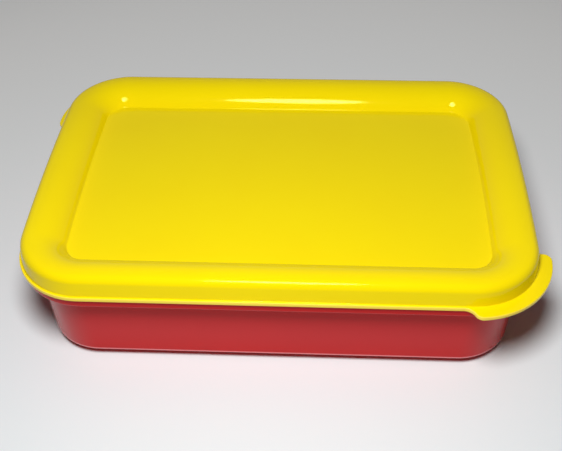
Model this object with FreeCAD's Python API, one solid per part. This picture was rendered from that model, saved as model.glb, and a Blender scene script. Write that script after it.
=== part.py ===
import FreeCAD, Part
import math
import os

# A shut, reusable snack box: a moulded plastic tub and the press-on lid seated on it.
# Millimetres and degrees. +Z is up, +X runs along the long side, and the origin is the
# middle of the bottom. The tub is solid, because a shut box shows nothing of its inside.

# Lip: the thin flat edge round the foot of the lid
lip_length = 185.0         # at the middle of the short sides
lip_width = 126.6
lip_corner_radius = 25.3
side_bow_radius = 1135.0   # the short sides bulge outwards a little
lip_thickness = 1.6
lip_edge_round = 0.35
lip_reach = 0.8            # how far the lip stands out from the rim's wall

# Rim: the puffed-up border of the lid, from its wall inwards
rim_height = 7.9           # crest above the top of the lip
rim_wall_slope = 83.5
rim_outer_radius = 3.0
crown_radius = 12.2        # over the crest and down to the panel
crown_outer_slope = 9.0    # where the crown runs into the outer radius
panel_drop = 6.85          # from the crest to the sunken panel
panel_fillet = 0.6
lid_wall = 1.5

# Pull tabs: one on each of two opposite corners, flat and as thick as the lip
front_tab_reach = 4.1      # past the corner of the lip
front_tab_end = -3.2       # directions count from +X about the centre of the corner
back_tab_reach = 3.2
back_tab_end = 3.0         # as the front tab's, on the lid turned half round
tab_start = -84.0
tab_start_hollow = 4.0
tab_start_round = 3.0
tab_end_hollow = 0.8
tab_end_round = 3.0

# Tub
tub_height = 36.0          # from the ground to the face that the lip rests on
wall_top_inset = 5.6       # the wall behind the lip's edge, at that face
wall_bottom_inset = 6.5
wall_bottom_radius = 20.5
bottom_round = 0.8
collar_inset = 1.0         # the collar behind the lip's edge
collar_height = 3.8
collar_upper_round = 0.25
collar_lower_round = 0.8
foot_height = 3.4
foot_inset = 3.6           # the foot behind the foot of the wall
neck_clearance = 0.3       # between the tub's neck and the inside of the lid

# Worked out from the sizes above
crest_height = tub_height + lip_thickness + rim_height
cut_margin = 1.0           # how far the lid's hollow is cut past its open side

Vector = FreeCAD.Vector
up = Vector(0, 0, 1)
bow = Vector(lip_length / 2 - side_bow_radius, 0, 0)


def plan(centre, radius, angle):
    """The point of a level circle in the direction of an angle counted from +X."""
    turn = math.radians(angle)
    return centre + Vector(radius * math.cos(turn), radius * math.sin(turn), 0)


def skin(centre, radius, slope):
    """The point of an upright circle where its outside slopes down outwards by an angle."""
    turn = math.radians(slope)
    return centre + Vector(radius * math.sin(turn), 0, radius * math.cos(turn))


def bend(place, centre, radius, start, end):
    """An arc from its start angle to its end angle, as the point halfway and the last point."""
    return place(centre, radius, (start + end) / 2), place(centre, radius, end)


def direction(start, end):
    """The angle of the way from one point to another, counted from +X."""
    return math.degrees(math.atan2(end.y - start.y, end.x - start.x))


def meeting(first, first_radius, second, second_radius):
    """Where two level circles cross, on the left of the way from the first centre to the second."""
    apart = first.distanceToPoint(second)
    cosine = (first_radius ** 2 + apart ** 2 - second_radius ** 2) / (2 * first_radius * apart)
    return plan(first, first_radius, direction(first, second) + math.degrees(math.acos(cosine)))


def half_turned(point):
    """The point turned half round about Z."""
    return Vector(-point.x, -point.y, point.z)


def face_round(steps):
    """The face inside a closed line of points, where a pair is an arc's halfway and last points."""
    edges = []
    last = steps[0]
    for step in steps[1:] + steps[:1]:
        if isinstance(step, tuple):
            edges.append(Part.Arc(last, *step).toShape())
            last = step[1]
        elif not last.isEqual(step, 1e-6):
            edges.append(Part.LineSegment(last, step).toShape())
            last = step
    return Part.Face(Part.Wire(edges))


def both_halves(half):
    """Steps for half of an outline, followed by the same steps turned half round."""
    return half + [tuple(map(half_turned, step)) if isinstance(step, tuple) else half_turned(step)
                   for step in half]


def joined(pieces):
    """One solid out of pieces that touch or overlap, with no seams left in its faces."""
    return pieces[0].multiFuse(pieces[1:]).removeSplitter()


def corner(inset, radius, height):
    """The centre of the back right corner of an outline that lies an inset behind the lip's edge,
    and the direction in which that corner meets the bowed short side."""
    centre_y = lip_width / 2 - inset - radius
    turn = math.asin(centre_y / (side_bow_radius - inset - radius))
    centre_x = bow.x + centre_y / math.tan(turn)
    return Vector(centre_x, centre_y, height), math.degrees(turn)


def level_face(inset, radius, height):
    """A level face an inset behind the lip's edge, with corners of a radius."""
    centre, turn = corner(inset, radius, height)
    mirrored = Vector(-centre.x, centre.y, height)
    side = bow + up * height
    reach = side_bow_radius - inset
    return face_round(both_halves([
        plan(side, reach, -turn),
        bend(plan, side, reach, -turn, turn),
        bend(plan, centre, radius, turn, 90),
        plan(mirrored, radius, 90),
        bend(plan, mirrored, radius, 90, 180 - turn),
    ]))


def placed(section, angle, point):
    """A copy of an upright section, turned about Z and then moved to a point."""
    copy = section.copy()
    copy.rotate(Vector(0, 0, 0), up, angle)
    copy.translate(point)
    return copy


def carried_round(section, height):
    """A section carried round the lip's outline. It stands in the XZ plane, its X counts outwards
    from the centres of the corners, and its edge at X = 0 is as tall as height says."""
    right, turn = corner(0, lip_corner_radius, 0)
    left = Vector(-right.x, right.y, 0)
    half = [
        placed(section, -turn, half_turned(left)).revolve(bow, up, 2 * turn),
        placed(section, turn, right).revolve(right, up, 90 - turn),
        placed(section, 90, right).extrude(left - right),
        placed(section, 90, left).revolve(left, up, 90 - turn),
    ]
    other = [placed(piece, 180, Vector(0, 0, 0)) for piece in half]
    side = bow + up * section.BoundBox.ZMin
    reach = side_bow_radius - lip_corner_radius
    core = face_round(both_halves([plan(side, reach, -turn), bend(plan, side, reach, -turn, turn)]))
    return joined([core.extrude(up * height)] + half + other)


def rim_section(depth, base):
    """The section under the lid's skin, or under a skin that lies some depth inside it, down to a
    level base. Returns the face and its height in the middle of the panel."""
    crown_rise = crown_radius * (1 - math.cos(math.radians(crown_outer_slope)))
    edge_rise = rim_outer_radius * (math.cos(math.radians(crown_outer_slope))
                                    - math.cos(math.radians(rim_wall_slope)))
    wall_run = (rim_height - crown_rise - edge_rise) / math.tan(math.radians(rim_wall_slope))
    edge_run = rim_outer_radius * math.sin(math.radians(rim_wall_slope))
    crown_run = (crown_radius - rim_outer_radius) * math.sin(math.radians(crown_outer_slope))
    crest = lip_corner_radius - lip_reach - wall_run - edge_run - crown_run

    crown = Vector(crest, 0, crest_height - crown_radius)
    outer = skin(crown, crown_radius - rim_outer_radius, crown_outer_slope)
    panel = crest_height - panel_drop
    inner_slope = math.degrees(math.acos(1 - panel_drop / (crown_radius + panel_fillet)))
    fillet = skin(crown, crown_radius + panel_fillet, -inner_slope)

    wall_top = skin(outer, rim_outer_radius - depth, rim_wall_slope)
    wall_foot = wall_top + Vector((wall_top.z - base) / math.tan(math.radians(rim_wall_slope)), 0,
                                  base - wall_top.z)
    steps = [
        Vector(0, 0, base),
        Vector(0, 0, panel - depth),
        skin(fillet, -panel_fillet - depth, 0),
        bend(skin, fillet, -panel_fillet - depth, 0, -inner_slope),
        bend(skin, crown, crown_radius - depth, -inner_slope, crown_outer_slope),
        bend(skin, outer, rim_outer_radius - depth, crown_outer_slope, rim_wall_slope),
        wall_foot,
    ]
    return face_round(steps), panel - depth - base


def lip_half(tab_reach, tab_end):
    """Steps for the front right tab and the lip's edge from there to the back right corner."""
    plain, turn = corner(0, lip_corner_radius, tub_height)
    centre = Vector(plain.x, -plain.y, tub_height)
    side = bow + up * tub_height
    reach = lip_corner_radius + tab_reach

    start_round = plan(centre, reach - tab_start_round, tab_start)
    span = tab_start_hollow + tab_start_round
    gap = start_round.y + lip_width / 2 + tab_start_hollow
    start_hollow = Vector(start_round.x - math.sqrt(span ** 2 - gap ** 2),
                          -lip_width / 2 - tab_start_hollow, tub_height)
    start_turn = direction(start_hollow, start_round)

    end_round = plan(centre, reach - tab_end_round, tab_end)
    end_hollow = meeting(side, side_bow_radius + tab_end_hollow,
                         end_round, tab_end_hollow + tab_end_round)
    end_turn = direction(end_round, end_hollow)
    side_turn = direction(side, end_hollow)

    return [
        plan(start_hollow, tab_start_hollow, 90),
        bend(plan, start_hollow, tab_start_hollow, 90, start_turn),
        bend(plan, start_round, tab_start_round, start_turn - 180, tab_start),
        bend(plan, centre, reach, tab_start, tab_end),
        bend(plan, end_round, tab_end_round, tab_end, end_turn),
        bend(plan, end_hollow, tab_end_hollow, end_turn + 180, side_turn + 180),
        bend(plan, side, side_bow_radius, side_turn, turn),
        bend(plan, plain, lip_corner_radius, turn, 90),
    ]


def lip_outline():
    """The lip with its two tabs, as a level face at the lip's underside."""
    back = both_halves(lip_half(back_tab_reach, back_tab_end))
    return face_round(lip_half(front_tab_reach, front_tab_end) + back[len(back) // 2:])


def make_lid():
    lip = lip_outline().extrude(up * lip_thickness)
    level = [edge for edge in lip.Edges if edge.BoundBox.ZLength < lip_edge_round]
    lip = lip.makeFillet(lip_edge_round, level)
    dome = carried_round(*rim_section(0, tub_height))
    hollow = carried_round(*rim_section(lid_wall, tub_height - cut_margin))
    return joined([dome, lip]).cut(hollow)


def make_wall():
    """The tapered body of the tub, with its bottom edge rounded."""
    foot = level_face(wall_bottom_inset, wall_bottom_radius, foot_height)
    top = level_face(wall_top_inset, lip_corner_radius - wall_top_inset, tub_height)
    body = Part.makeLoft([foot.OuterWire, top.OuterWire], True, True)
    low = [edge for edge in body.Edges if edge.BoundBox.ZMax < foot_height + bottom_round]
    return body.makeFillet(bottom_round, low)


def make_collar():
    """The band that stands out round the top of the tub and carries the lip."""
    edge = lip_corner_radius - collar_inset
    low = tub_height - collar_height
    upper = Vector(edge - collar_upper_round, 0, tub_height - collar_upper_round)
    lower = Vector(edge - collar_lower_round, 0, low + collar_lower_round)
    section = face_round([
        Vector(0, 0, tub_height),
        skin(upper, collar_upper_round, 0),
        bend(skin, upper, collar_upper_round, 0, 90),
        skin(lower, collar_lower_round, 90),
        bend(skin, lower, collar_lower_round, 90, 180),
        Vector(0, 0, low),
    ])
    return carried_round(section, collar_height)


def make_tub():
    foot = level_face(wall_bottom_inset + foot_inset, wall_bottom_radius - foot_inset, 0)
    neck = carried_round(*rim_section(lid_wall + neck_clearance, tub_height))
    return joined([make_wall(), make_collar(), neck, foot.extrude(up * foot_height)])


os.makedirs("parts", exist_ok=True)
for name, make in (("tub", make_tub), ("lid", make_lid)):
    shape = make()
    shape.exportStep("parts/" + name + ".step")
    box = shape.optimalBoundingBox()
    print(name, shape.isValid(), len(shape.Solids), "solid,", round(shape.Volume / 1000, 1), "ml,",
          "x %.2f y %.2f z %.2f to %.2f" % (box.XLength, box.YLength, box.ZMin, box.ZMax))
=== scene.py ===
import bpy
import numpy as np
from math import radians
from mathutils import Euler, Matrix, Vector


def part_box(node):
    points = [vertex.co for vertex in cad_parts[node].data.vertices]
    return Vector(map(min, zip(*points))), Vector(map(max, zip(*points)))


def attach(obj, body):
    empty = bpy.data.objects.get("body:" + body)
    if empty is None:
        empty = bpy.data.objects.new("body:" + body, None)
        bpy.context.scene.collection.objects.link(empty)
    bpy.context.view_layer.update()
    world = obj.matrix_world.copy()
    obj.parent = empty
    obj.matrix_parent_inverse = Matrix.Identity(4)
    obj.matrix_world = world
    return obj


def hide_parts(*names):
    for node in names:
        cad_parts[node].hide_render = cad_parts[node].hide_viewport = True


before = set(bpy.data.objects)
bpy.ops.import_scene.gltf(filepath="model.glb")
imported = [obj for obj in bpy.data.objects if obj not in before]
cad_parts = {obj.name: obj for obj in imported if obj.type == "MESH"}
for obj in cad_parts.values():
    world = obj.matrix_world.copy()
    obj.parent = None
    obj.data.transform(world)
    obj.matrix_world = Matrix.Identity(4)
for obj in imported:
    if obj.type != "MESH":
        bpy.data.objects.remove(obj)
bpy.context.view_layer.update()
print("frame loaded:", sorted(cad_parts))

# Metres and degrees. X runs along the long side, Y to the back, Z up from the ground.
# An inset is a distance inwards from the lip's edge. Steps say how finely a line or arc is
# drawn, and shares place rows part of the way from one row to the next.
tubLow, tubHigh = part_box("tub")
lidLow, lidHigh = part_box("lid")

collar = {
    "inset": 0.0010,
    "height": 0.0038,
    "upperRound": 0.00025,
    "lowerRound": 0.0008,
    "rootRound": 0.0004,      # where its underside meets the wall
}

outline = {
    "length": tubHigh.x - tubLow.x + 2 * collar["inset"],
    "width": tubHigh.y - tubLow.y + 2 * collar["inset"],
    "cornerRadius": 0.0253,
    "bowRadius": 1.135,       # the short sides bulge a little
}


# plan shapes

def away(angle):
    # the direction of an angle, counted from +X: (cos, sin)
    return np.stack([np.cos(np.radians(angle)), np.sin(np.radians(angle))], axis=-1)


def evenly(start, end, steps):
    # even steps from start, the last of them one short of end
    return np.linspace(start, end, steps, endpoint=False)


def heading(start, end):
    # the angle of the way from start to end
    return np.degrees(np.arctan2(end[1] - start[1], end[0] - start[0]))


bowCentre = np.array([outline["length"] / 2 - outline["bowRadius"], 0.0])


def corner(inset, radius):
    # centre of the back right corner of the line at an inset, and the angle where the bow ends:
    # the bow and the corner touch where both centres and the joint lie on one line
    centreY = outline["width"] / 2 - inset - radius
    turn = np.arcsin(centreY / (outline["bowRadius"] - inset - radius))
    return np.stack([bowCentre[0] + centreY / np.tan(turn), centreY], axis=-1), np.degrees(turn)


def ringLine(inset, radius, steps):
    # one closed line at an inset, with its own corner radius: arcs at centre + radius * (cos, sin)
    centre, turn = corner(inset, radius)
    bowSteps, cornerSteps, sideSteps = steps
    bow = bowCentre + (outline["bowRadius"] - inset) * away(evenly(-turn, turn, bowSteps))
    right = centre + radius * away(evenly(turn, 90, cornerSteps))
    side = evenly(1, -1, sideSteps)[:, None] * [centre[0], 0] + [0, centre[1] + radius]
    left = centre * [-1, 1] + radius * away(evenly(90, 180 - turn, cornerSteps))
    half = np.vstack([bow, right, side, left])
    return np.vstack([half, -half])


def footOn(points):
    # the nearest point of the plain lip line, without tabs, and the way outwards there.
    # All four quarters are alike, so the points are folded into one and unfolded at the end
    folded = np.abs(points)
    centre, turn = corner(0, outline["cornerRadius"])
    fromCorner = folded - centre
    fromBow = folded - bowCentre
    onCorner = fromCorner / np.linalg.norm(fromCorner, axis=1)[:, None]
    onBow = fromBow / np.linalg.norm(fromBow, axis=1)[:, None]
    angle = np.degrees(np.arctan2(fromBow[:, 1], fromBow[:, 0]))
    straight = (folded[:, 0] < centre[0])[:, None]
    bowed = (angle < turn)[:, None] & ~straight
    out = np.where(straight, [0.0, 1.0], np.where(bowed, onBow, onCorner))
    footSide = np.stack([folded[:, 0], np.full(len(points), outline["width"] / 2)], axis=1)
    footBow = bowCentre + outline["bowRadius"] * onBow
    footCorner = centre + outline["cornerRadius"] * onCorner
    foot = np.where(straight, footSide, np.where(bowed, footBow, footCorner))
    mirror = np.where(points < 0, -1.0, 1.0)
    return foot * mirror, out * mirror


def slopeArc(centre, radius, start, end, steps):
    # rows of (inset, height) on an upright arc, by the outward slope of its skin:
    # centre + radius * (-sin, cos)
    slope = np.radians(np.linspace(start, end, steps))
    return np.stack([centre[0] - radius * np.sin(slope), centre[1] + radius * np.cos(slope)], axis=1)


def arcPoint(centre, radius, slope):
    # the point of an upright arc that has this slope
    return slopeArc(centre, radius, slope, slope, 1)[0]


# mesh

def between(first, second, shares):
    # rows part of the way from one row to another: first + (second - first) * share
    return [first + (second - first) * share for share in shares]


def lifted(line, height):
    # a plan line at a height
    return np.column_stack([line, np.full(len(line), height)])


def ringMesh(name, rings, firstPole, lastPole):
    # a closed skin: rings of points joined by four-sided faces, with a fan to a pole at each end
    count, around = rings.shape[:2]
    points = np.vstack([rings.reshape(-1, 3), firstPole, lastPole])
    row = np.arange(count - 1)[:, None] * around
    here = np.arange(around)[None, :]
    after = (here + 1) % around
    sides = [row + here, row + after, row + around + after, row + around + here]
    quads = np.stack(sides, axis=-1).reshape(-1, 4)
    last = (count - 1) * around
    firstFan = np.stack([np.full(around, count * around), after[0], here[0]], axis=1)
    lastFan = np.stack([np.full(around, count * around + 1), last + here[0], last + after[0]], axis=1)
    mesh = bpy.data.meshes.new(name)
    mesh.from_pydata(points, [], quads.tolist() + firstFan.tolist() + lastFan.tolist())
    mesh.polygons.foreach_set("use_smooth", np.ones(len(mesh.polygons), bool))
    mesh.update()
    piece = bpy.data.objects.new(name, mesh)
    bpy.context.scene.collection.objects.link(piece)
    return piece


# lid

lid = {
    "lipThickness": 0.0016,
    "lipRound": 0.00035,
    "lipReach": 0.0008,
    "grooveRound": 0.0003,    # where the lip meets the rim
    "wallSlope": 83.5,
    "shoulderRadius": 0.003,
    "shoulderSlope": 9.0,     # where the shoulder runs into the crown
    "crownRadius": 0.0122,    # over the crest and down to the panel
    "panelDrop": 0.00685,
    "panelFillet": 0.0006,
    "wall": 0.0015,
    "tabStart": -84.0,        # angles about the corner's centre
    "startHollow": 0.004,
    "startRound": 0.003,
    "endHollow": 0.0008,
    "endRound": 0.003,
    "tabs": [(0.0041, -3.2), (0.0032, 3.0)],    # reach and end angle, front right and back left
    "steps": {
        "shoulder": 16, "crown": 28, "fillet": 10, "lipRound": 6, "groove": 7,
        "longSide": 48, "startHollow": 14, "startRound": 12, "tab": 64,
        "endRound": 24, "endHollow": 12, "bow": 36, "corner": 64,
    },
    "shares": {
        "underLip": (0.1, 0.5, 0.9),
        "overLip": (0.04, 0.3, 0.6, 0.9),
        "wall": (0.08, 0.5, 0.92),
        "panel": (0.004, 0.012, *np.linspace(0.04, 0.96, 24)),
        "underPanel": (0.98, 0.5, 0.02),
    },
}


def rimRows(depth):
    # (inset, height) rows of the rim's skin, or of a skin some depth inside it, from the top of
    # its wall to the flat of the panel: shoulder, crown and fillet, each tangent to the next.
    # The wall's foot comes separately
    crest = lidHigh.z
    wallSlope, shoulderSlope = radians(lid["wallSlope"]), radians(lid["shoulderSlope"])
    shoulder, crown, fillet = lid["shoulderRadius"], lid["crownRadius"], lid["panelFillet"]
    rise = crest - lidLow.z - lid["lipThickness"]
    drop = (crown * (1 - np.cos(shoulderSlope))
            + shoulder * (np.cos(shoulderSlope) - np.cos(wallSlope)))
    middle = (lid["lipReach"] + (rise - drop) / np.tan(wallSlope) + shoulder * np.sin(wallSlope)
              + (crown - shoulder) * np.sin(shoulderSlope))
    crownCentre = np.array([middle, crest - crown])
    panelSlope = np.degrees(np.arccos(1 - lid["panelDrop"] / (crown + fillet)))
    shoulderCentre = arcPoint(crownCentre, crown - shoulder, lid["shoulderSlope"])
    filletCentre = arcPoint(crownCentre, crown + fillet, -panelSlope)
    top = arcPoint(shoulderCentre, shoulder - depth, lid["wallSlope"])
    foot = np.array([top[0] - (top[1] - lidLow.z) / np.tan(wallSlope), lidLow.z])
    count = lid["steps"]
    return foot, np.vstack([
        slopeArc(shoulderCentre, shoulder - depth,
                 lid["wallSlope"], lid["shoulderSlope"], count["shoulder"])[:-1],
        slopeArc(crownCentre, crown - depth, lid["shoulderSlope"], -panelSlope, count["crown"]),
        slopeArc(filletCentre, -fillet - depth, -panelSlope, 0, count["fillet"])[1:],
    ])


def tabbedEdge():
    # the lip's edge with its two tabs, as points and the way outwards at each. Every stretch is a
    # straight run or an arc; a hollow arc faces its own centre
    radius, width, count = outline["cornerRadius"], outline["width"], lid["steps"]
    plain, turn = corner(0, radius)
    centre = plain * [1, -1]
    points, outward = [], []
    for side, (reach, endAngle) in zip((1, -1), lid["tabs"]):
        far = radius + reach
        startRound = centre + (far - lid["startRound"]) * away(lid["tabStart"])
        startSpan = lid["startHollow"] + lid["startRound"]
        hollowY = -width / 2 - lid["startHollow"]
        along = np.sqrt(startSpan ** 2 - (startRound[1] - hollowY) ** 2)
        startHollow = np.array([startRound[0] - along, hollowY])
        startTurn = heading(startHollow, startRound)
        endRound = centre + (far - lid["endRound"]) * away(endAngle)
        # the end hollow touches the round and the bowed side, so its centre is where two
        # circles cross
        bowSpan = outline["bowRadius"] + lid["endHollow"]
        endSpan = lid["endHollow"] + lid["endRound"]
        apart = np.linalg.norm(endRound - bowCentre)
        cosine = (bowSpan ** 2 + apart ** 2 - endSpan ** 2) / (2 * bowSpan * apart)
        sideTurn = heading(bowCentre, endRound) + np.degrees(np.arccos(cosine))
        endHollow = bowCentre + bowSpan * away(sideTurn)
        endTurn = heading(endRound, endHollow)
        straight = evenly(-plain[0], startHollow[0], count["longSide"])
        half = [(np.stack([straight, np.full(len(straight), -width / 2)], axis=1),
                 np.tile([0.0, -1.0], (len(straight), 1)))]
        for middle, size, start, end, steps in (
                (startHollow, -lid["startHollow"], 90, startTurn, count["startHollow"]),
                (startRound, lid["startRound"], startTurn - 180, lid["tabStart"], count["startRound"]),
                (centre, far, lid["tabStart"], endAngle, count["tab"]),
                (endRound, lid["endRound"], endAngle, endTurn, count["endRound"]),
                (endHollow, -lid["endHollow"], endTurn + 180, sideTurn + 180, count["endHollow"]),
                (bowCentre, outline["bowRadius"], sideTurn, turn, count["bow"]),
                (plain, radius, turn, 90, count["corner"])):
            direction = away(evenly(start, end, steps))
            half.append((middle + abs(size) * direction, np.sign(size) * direction))
        points += [side * line for line, _ in half]
        outward += [side * way for _, way in half]
    return np.vstack(points), np.vstack(outward)


def makeLid():
    # rows run from under the panel, down inside the rim, round the lip, over the rim and on to the
    # panel: each row is the lip's plain line moved inwards by its inset, except along the tabs' edge
    edge, edgeOut = tabbedEdge()
    foot, out = footOn(edge)
    low, top = lidLow.z, lidLow.z + lid["lipThickness"]
    lipRound, count, shares = lid["lipRound"], lid["steps"], lid["shares"]

    def plainRing(row):
        return lifted(foot - row[0] * out, row[1])

    def edgeRing(row):
        return lifted(edge - row[0] * edgeOut, row[1])

    insideFoot, inside = rimRows(lid["wall"])
    _, outside = rimRows(0)
    under = edgeRing((lipRound, low))
    seat = plainRing(insideFoot)
    rings = [plainRing(row) for row in inside[::-1]] + [seat]
    rings += between(seat, under, shares["underLip"]) + [under]
    lower = slopeArc((lipRound, low + lipRound), lipRound, 180, 90, count["lipRound"])[1:]
    upper = slopeArc((lipRound, top - lipRound), lipRound, 90, 0, count["lipRound"])
    rings += [edgeRing(row) for row in np.vstack([lower, upper])]

    # the groove between lip and wall
    turn = radians(lid["wallSlope"])
    grooveStart = lid["lipReach"] - lid["grooveRound"] * np.tan(turn / 2)
    angles = np.linspace(0, turn, count["groove"])
    groove = np.stack([grooveStart + lid["grooveRound"] * np.sin(angles),
                       top + lid["grooveRound"] * (1 - np.cos(angles))], axis=1)
    rings += between(rings[-1], plainRing(groove[0]), shares["overLip"])
    rings += [plainRing(row) for row in groove]
    rings += between(rings[-1], plainRing(outside[0]), shares["wall"])
    rings += [plainRing(row) for row in outside]

    # the panel: its edge line drawn in evenly to the middle
    middle = np.array([0, 0, lidHigh.z - lid["panelDrop"]])
    underMiddle = middle - [0, 0, lid["wall"]]
    rings += between(rings[-1], middle, shares["panel"])
    underside = between(rings[0], underMiddle, shares["underPanel"])
    return ringMesh("lidShell", np.array(underside + rings), underMiddle, middle)


# tub

tub = {
    "topInset": 0.0056,
    "bottomInset": 0.0065,
    "bottomRadius": 0.0205,
    "bottomRound": 0.0008,
    "footHeight": 0.0034,
    "footInset": 0.0036,
    "footRound": 0.00015,
    "neckGap": 0.0003,
    "steps": {
        "footRound": 5, "bottomRound": 14, "wall": 22, "rootRound": 5,
        "lowerRound": 9, "upperRound": 6, "ring": (24, 56, 64),
    },
    "shares": {
        "underFoot": (0.95, 0.7, 0.45, 0.2, 0.02),
        "collar": (0.05, 0.5, 0.95),
        "cap": (0.02, 0.5),
    },
}


def makeTub():
    # rows of (inset, corner radius, height) from the foot to the wall, the collar and the neck.
    # The wall is straight between its foot and its top, and each other row keeps an even distance
    count, shares = tub["steps"], tub["shares"]
    seat = lidLow.z
    footTop, bottom = tub["footHeight"], tub["bottomRound"]
    lean = np.arctan2(tub["bottomInset"] - tub["topInset"], seat - footTop)
    topRadius = outline["cornerRadius"] - tub["topInset"]

    def wallRow(height):
        share = (height - footTop) / (seat - footTop)
        inset = tub["bottomInset"] + (tub["topInset"] - tub["bottomInset"]) * share
        radius = tub["bottomRadius"] + (topRadius - tub["bottomRadius"]) * share
        return inset, radius, height

    def evenRow(inset, height):
        return inset, outline["cornerRadius"] - inset, height

    footInset, footRound = tub["bottomInset"] + tub["footInset"], tub["footRound"]
    footRadius = tub["bottomRadius"] - tub["footInset"]
    footArc = slopeArc((footRound, footRound), footRound, 180, 90, count["footRound"])
    rows = [(footInset + inset, footRadius - inset, height) for inset, height in footArc]
    rows.append((footInset, footRadius, footTop))
    # the rounded bottom edge touches the underside and the leaning wall
    reach = bottom * np.tan((np.pi / 2 - lean) / 2)
    for angle in np.linspace(0, np.pi / 2 - lean, count["bottomRound"]):
        extra = reach - bottom * np.sin(angle)
        height = footTop + bottom * (1 - np.cos(angle))
        rows.append((tub["bottomInset"] + extra, tub["bottomRadius"] - extra, height))
    # wall
    under, root = seat - collar["height"], collar["rootRound"]
    rows += [wallRow(height) for height in np.linspace(rows[-1][2], under - root, count["wall"])[1:]]
    # collar
    wallInset = wallRow(under)[0]
    rows += [evenRow(wallInset - root + root * np.cos(angle), under - root + root * np.sin(angle))
             for angle in np.linspace(0, np.pi / 2, count["rootRound"])[1:]]
    edge, lower, upper = collar["inset"], collar["lowerRound"], collar["upperRound"]
    side = collar["height"] - lower - upper
    lowerArc = slopeArc((edge + lower, under + lower), lower, 180, 90, count["lowerRound"])
    upperArc = slopeArc((edge + upper, seat - upper), upper, 90, 0, count["upperRound"])
    rows += [evenRow(*row) for row in lowerArc]
    rows += [evenRow(edge, under + lower + side * share) for share in shares["collar"]]
    rows += [evenRow(*row) for row in upperArc]
    # neck inside the lid
    neckFoot, neck = rimRows(lid["wall"] + tub["neckGap"])
    rows += [evenRow(*neckFoot)] + [evenRow(*row) for row in neck]
    rings = [lifted(ringLine(inset, radius, count["ring"]), height) for inset, radius, height in rows]
    footMiddle, topMiddle = np.array([0, 0, 0.0]), np.array([0, 0, rows[-1][2]])
    underside = between(rings[0], footMiddle, shares["underFoot"])
    cap = between(rings[-1], topMiddle, shares["cap"])
    return ringMesh("tubBody", np.array(underside + rings + cap), footMiddle, topMiddle)


lidShell = makeLid()
print("lid made:", len(lidShell.data.polygons), "faces")
tubBody = makeTub()
print("tub made:", len(tubBody.data.polygons), "faces")

for piece, node in ((lidShell, "lid"), (tubBody, "tub")):
    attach(piece, "root")
    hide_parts(node)


# shader nodes

def feed(tree, node, values):
    # sets each named or numbered input of a node to a plain value, or links it to a socket
    for label, value in values.items():
        if isinstance(value, bpy.types.NodeSocket):
            tree.links.new(value, node.inputs[label])
        else:
            node.inputs[label].default_value = value


def addNode(tree, kind, values=None, **settings):
    node = tree.nodes.new(kind)
    for label, value in settings.items():
        setattr(node, label, value)
    feed(tree, node, values or {})
    return node


def objectPlace(tree):
    return addNode(tree, "ShaderNodeTexCoord").outputs["Object"]


def mathValue(tree, operation, *given, clamp=False):
    inputs = dict(enumerate(given))
    node = addNode(tree, "ShaderNodeMath", inputs, operation=operation, use_clamp=clamp)
    return node.outputs["Value"]


def noiseValue(tree, place, scale, detail, roughness=0.5, distortion=0.0):
    node = addNode(tree, "ShaderNodeTexNoise", {
        "Vector": place, "Scale": scale, "Detail": detail,
        "Roughness": roughness, "Distortion": distortion})
    return node.outputs["Fac"]


def rangeValue(tree, value, source, target, curve="LINEAR"):
    # a value carried over from one range, as low and high, to another
    node = addNode(tree, "ShaderNodeMapRange", {
        "Value": value, "From Min": source[0], "From Max": source[1],
        "To Min": target[0], "To Max": target[1]}, interpolation_type=curve)
    return node.outputs["Result"]


def mixedColour(tree, share, first, second):
    # first + (second - first) * share
    inputs = {"Factor": share, "A": first, "B": second}
    return addNode(tree, "ShaderNodeMix", inputs, data_type="RGBA").outputs["Result"]


def seenOnly(tree):
    # 1 for camera, glossy and transmission rays, and 0 for the rays that scatter light on the box
    rays = addNode(tree, "ShaderNodeLightPath").outputs
    cameraOrGlossy = mathValue(tree, "MAXIMUM", rays["Is Camera Ray"], rays["Is Glossy Ray"])
    return mathValue(tree, "MAXIMUM", cameraOrGlossy, rays["Is Transmission Ray"])


def socketGroup(name, inputs, outputs):
    # a shader node group with named sockets and their starting values
    group = bpy.data.node_groups.new(name, "ShaderNodeTree")
    for kind, label, value in inputs:
        socket = group.interface.new_socket(label, in_out="INPUT", socket_type=kind)
        socket.default_value = value
    for kind, label in outputs:
        group.interface.new_socket(label, in_out="OUTPUT", socket_type=kind)
    return group, group.nodes.new("NodeGroupInput").outputs, group.nodes.new("NodeGroupOutput")


# materials

# texture of both plastics. A noise is scale, detail, roughness and distortion
texture = {
    "clouds": (22, 3, 0.6),
    "cloudRange": (0.35, 0.75),
    "waves": (14, 1, 0.4, 0.3),
    "grain": (2600, 2),
    "smudges": (60, 4, 0.6, 0.8),
    "patchRange": (0.5, 0.7),
    "hairlines": (5, 2, 0.5, 0.1),
    "hairlineRuns": ((24, (3, 190, 60)), (-51, (170, 4, 60))),    # turn and stretch
    "hairlineWidth": 0.006,
    "wear": 0.1,              # roughness that a scratch adds
    "scratchDepth": 0.000003,
    "noiseMiddle": 0.5,
}


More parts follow.
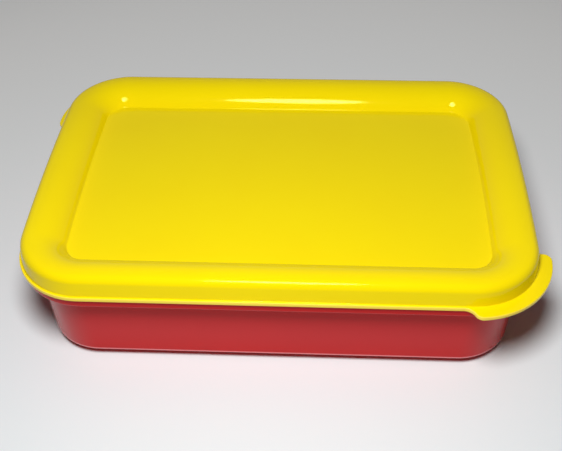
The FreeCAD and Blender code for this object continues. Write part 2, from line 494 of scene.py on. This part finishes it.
def plasticGroup():
    # moulded plastic: a cloudy change of colour, uneven gloss, the mould's fine grain, slow waves
    # where the plastic shrank, and hairline scratches from use
    group, given, made = socketGroup("mouldedPlastic", [
        ("NodeSocketColor", "Colour", (0.8, 0.8, 0.8, 1)),
        ("NodeSocketColor", "Cloud Colour", (0.7, 0.7, 0.7, 1)),
        ("NodeSocketFloat", "Gloss", 0.25),
        ("NodeSocketFloat", "Gloss Spread", 0.06),
        ("NodeSocketFloat", "Waves", 0.00004),
        ("NodeSocketFloat", "Grain", 0.000002),
        ("NodeSocketFloat", "Scratches", 0.3),
    ], [
        ("NodeSocketColor", "Colour"),
        ("NodeSocketFloat", "Roughness"),
        ("NodeSocketFloat", "Height"),
    ])
    place, middle = objectPlace(group), texture["noiseMiddle"]
    clouds, waves, grain, smudges = (
        noiseValue(group, place, *texture[name]) for name in ("clouds", "waves", "grain", "smudges"))
    cloudShare = rangeValue(group, clouds, texture["cloudRange"], (0, 1))
    colour = mixedColour(group, cloudShare, given["Colour"], given["Cloud Colour"])

    # hairlines: two layers of thin stretched noise bands, kept where the noise crosses its middle
    lines = []
    for turn, stretch in texture["hairlineRuns"]:
        mapping = addNode(group, "ShaderNodeMapping", {
            "Vector": place, "Rotation": (0, 0, radians(turn)), "Scale": stretch})
        bands = noiseValue(group, mapping.outputs["Vector"], *texture["hairlines"])
        fromMiddle = mathValue(group, "ABSOLUTE", mathValue(group, "SUBTRACT", bands, middle))
        lines.append(rangeValue(group, fromMiddle, (0, texture["hairlineWidth"]), (1, 0)))
    patches = rangeValue(group, smudges, texture["patchRange"], (0, 1))
    kept = mathValue(group, "MULTIPLY", mathValue(group, "MAXIMUM", *lines), patches)
    scratches = mathValue(group, "MULTIPLY", kept, given["Scratches"])

    # roughness = gloss + spread * (smudges - middle) + wear * scratches
    centred = mathValue(group, "SUBTRACT", smudges, middle)
    uneven = mathValue(group, "MULTIPLY_ADD", centred, given["Gloss Spread"], given["Gloss"])
    roughness = mathValue(group, "MULTIPLY_ADD", scratches, texture["wear"], uneven)

    # height in metres = waves + grain - depth * scratches
    waveHeight = mathValue(group, "MULTIPLY", waves, given["Waves"])
    grainHeight = mathValue(group, "MULTIPLY_ADD", grain, given["Grain"], waveHeight)
    height = mathValue(group, "MULTIPLY_ADD", scratches, -texture["scratchDepth"], grainHeight)
    feed(group, made, {"Colour": colour, "Roughness": roughness, "Height": height})
    return group


def bandGroup():
    # another colour between two heights, here used for painted highlights and a painted reflection:
    # strength * clamp((z - low) / soft) * clamp((high - z) / soft)
    group, given, made = socketGroup("heightBand", [
        ("NodeSocketColor", "Colour", (0.8, 0.8, 0.8, 1)),
        ("NodeSocketColor", "Band Colour", (0.9, 0.9, 0.9, 1)),
        ("NodeSocketFloat", "Low", 0.0),
        ("NodeSocketFloat", "High", 0.01),
        ("NodeSocketFloat", "Soft", 0.001),
        ("NodeSocketFloat", "Strength", 1.0),
    ], [
        ("NodeSocketColor", "Colour"),
    ])
    height = addNode(group, "ShaderNodeSeparateXYZ", {"Vector": objectPlace(group)}).outputs["Z"]
    ends = []
    for above, below in ((height, given["Low"]), (given["High"], height)):
        rise = mathValue(group, "SUBTRACT", above, below)
        ends.append(mathValue(group, "DIVIDE", rise, given["Soft"], clamp=True))
    share = mathValue(group, "MULTIPLY", mathValue(group, "MULTIPLY", *ends), given["Strength"])
    feed(group, made, {"Colour": mixedColour(group, share, given["Colour"], given["Band Colour"])})
    return group


plastic = plasticGroup()
band = bandGroup()

lidPlastic = {
    "Colour": (0.90, 0.715, 0.001, 1),
    "Cloud Colour": (0.89, 0.69, 0.001, 1),
    "Gloss": 0.08,
    "Gloss Spread": 0.06,
    "Waves": 0.00003,
    "Grain": 0.0000015,
    "Scratches": 0.35,
}
lidShine = {
    "Specular IOR Level": 0.25,
    "Specular Tint": (1.0, 0.85, 0.2, 1),
}

tubPlastic = {
    "Colour": (0.55, 0.008, 0.009, 1),
    "Cloud Colour": (0.51, 0.007, 0.008, 1),
    "Gloss": 0.16,
    "Gloss Spread": 0.08,
    "Waves": 0.00003,
    "Grain": 0.0000015,
    "Scratches": 0.25,
}
tubShine = {
    "Specular IOR Level": 0.5,
    "Specular Tint": (1.0, 0.12, 0.12, 1),
}

# painted highlight: a paler edge all round the lip, standing in for the lamp's reflection on its
# rounded edges
lipHighlightBand = {
    "Band Colour": (0.97, 0.74, 0.08, 1),
    "Low": lidLow.z - 0.0001,
    "High": lidLow.z + lid["lipThickness"],
    "Soft": 0.0001,
    "Strength": 1.0,
}

# painted reflection of the pale floor. The wall is a little paler about half-way up: both ends of the
# band are so soft that they meet
wallReflectionBand = {
    "Band Colour": (0.58, 0.075, 0.082, 1),
    "Low": tub["footHeight"],
    "High": 0.028,
    "Soft": 0.024,
    "Strength": 1.0,
}

# painted highlight: the wall's bottom edge is paler, standing in for the pale floor's reflection on
# its rounded edge
edgeHighlightBand = {
    "Band Colour": (0.90, 0.32, 0.34, 1),
    "Low": tub["footHeight"],
    "High": tub["footHeight"] + 0.0013,
    "Soft": 0.0004,
    "Strength": 0.8,
}


def plasticMaterial(name, look, bands, shine):
    material = bpy.data.materials.new(name)
    material.use_nodes = True
    tree = material.node_tree
    finish = addNode(tree, "ShaderNodeGroup", look, node_tree=plastic).outputs
    colour = finish["Colour"]
    # painted highlight and reflection bands laid over the plastic's own colour
    for values in bands:
        stripe = addNode(tree, "ShaderNodeGroup", {**values, "Colour": colour}, node_tree=band)
        colour = stripe.outputs["Colour"]
    # the height is in metres, so the bump's own distance is 1
    bump = addNode(tree, "ShaderNodeBump", {"Distance": 1.0, "Height": finish["Height"]})
    feed(tree, tree.nodes["Principled BSDF"], {
        "Base Color": colour,
        "Roughness": finish["Roughness"],
        "Normal": bump.outputs["Normal"],
        **shine,
    })
    return material


yellowPlastic = plasticMaterial("yellowPlastic", lidPlastic, [lipHighlightBand], lidShine)
redPlastic = plasticMaterial("redPlastic", tubPlastic, [wallReflectionBand, edgeHighlightBand], tubShine)
lidShell.data.materials.append(yellowPlastic)
tubBody.data.materials.append(redPlastic)
print("materials made")


# floor, light, room and camera

ground = {
    "half": 3.0,              # half the side of the square sheet
    # the far colour is paler: painted light that makes up for the lamp's falloff over the far floor
    "near": (0.79, 0.84, 0.865, 1),
    "far": (0.86, 0.865, 0.86, 1),
    "fadeFrom": (0.0, -0.09),
    "fadeRange": (0.08, 0.34),
    "clouds": (6, 3, 0.5),    # scale, detail and roughness
    "mottle": 0.03,
    "farGlow": 0.18,          # lifts the far floor in sight and in reflections only
    "roughness": 0.8,
    "shine": 0.2,
}

lamp = {
    "place": (-0.0075, -0.188, 0.338),
    "aim": (0.0, 0.0, 0.03),
    "across": 0.11,
    "power": 1.38,            # watts
    "colour": (1.0, 0.985, 0.975),
}

room = {
    "colour": (1.0, 0.97, 0.94, 1),
    "strength": 0.035,
    "backdrop": 0.42,         # what the camera and reflections see of the room
}

view = {
    "place": (0.01507, -0.26761, 0.25990),
    "turn": (47.579, 0.796, 2.669),
    "lens": 57.90,
    "clip": (0.01, 50),
}


def makeFloor():
    # a level sheet of pale paper, z = 0. With the distance from its brightest place its colour
    # fades from near to far, share = fade + mottle * clouds: painted light, the far floor paler to
    # make up for the lamp's falloff. It glows by farGlow * fade * seenOnly
    half = ground["half"]
    corners = [(-half, -half, 0), (half, -half, 0), (half, half, 0), (-half, half, 0)]
    mesh = bpy.data.meshes.new("floor")
    mesh.from_pydata(corners, [], [(0, 1, 2, 3)])
    mesh.update()
    floor = bpy.data.objects.new("floor", mesh)
    bpy.context.scene.collection.objects.link(floor)
    material = bpy.data.materials.new("palePaper")
    material.use_nodes = True
    tree = material.node_tree
    place = objectPlace(tree)
    reach = addNode(tree, "ShaderNodeVectorMath", {0: place, 1: (*ground["fadeFrom"], 0)},
                    operation="DISTANCE")
    fade = rangeValue(tree, reach.outputs["Value"], ground["fadeRange"], (0, 1), "SMOOTHSTEP")
    clouds = noiseValue(tree, place, *ground["clouds"])
    share = mathValue(tree, "MULTIPLY_ADD", clouds, ground["mottle"], fade)
    seenFade = mathValue(tree, "MULTIPLY", seenOnly(tree), fade)
    feed(tree, tree.nodes["Principled BSDF"], {
        "Base Color": mixedColour(tree, share, ground["near"], ground["far"]),
        "Emission Color": ground["far"],
        "Emission Strength": mathValue(tree, "MULTIPLY", seenFade, ground["farGlow"]),
        "Roughness": ground["roughness"],
        "Specular IOR Level": ground["shine"],
    })
    mesh.materials.append(material)


def makeLamp():
    # a round soft lamp above and before the box, turned towards its aim
    light = bpy.data.lights.new("lamp", "AREA")
    light.shape = "DISK"
    light.size = lamp["across"]
    light.energy = lamp["power"]
    light.color = lamp["colour"]
    head = bpy.data.objects.new("lamp", light)
    head.location = lamp["place"]
    way = np.array(lamp["aim"]) - lamp["place"]
    tilt = np.arccos(-way[2] / np.linalg.norm(way))
    head.rotation_euler = (tilt, 0, np.arctan2(-way[0], way[1]))
    bpy.context.scene.collection.objects.link(head)


def makeRoom():
    # an even pale room, dim for the rays that light the box
    world = bpy.data.worlds.new("studio")
    world.use_nodes = True
    tree = world.node_tree
    strength = rangeValue(tree, seenOnly(tree), (0, 1), (room["strength"], room["backdrop"]))
    feed(tree, tree.nodes["Background"], {"Color": room["colour"], "Strength": strength})
    bpy.context.scene.world = world


def makeCamera():
    data = bpy.data.cameras.new("camera")
    data.lens = view["lens"]
    data.clip_start, data.clip_end = view["clip"]
    camera = bpy.data.objects.new("camera", data)
    camera.location = view["place"]
    camera.rotation_euler = Euler([radians(angle) for angle in view["turn"]])
    bpy.context.scene.collection.objects.link(camera)
    bpy.context.scene.camera = camera
    bpy.context.scene.view_settings.view_transform = "Standard"


makeFloor()
makeLamp()
makeRoom()
makeCamera()
print("stage made")
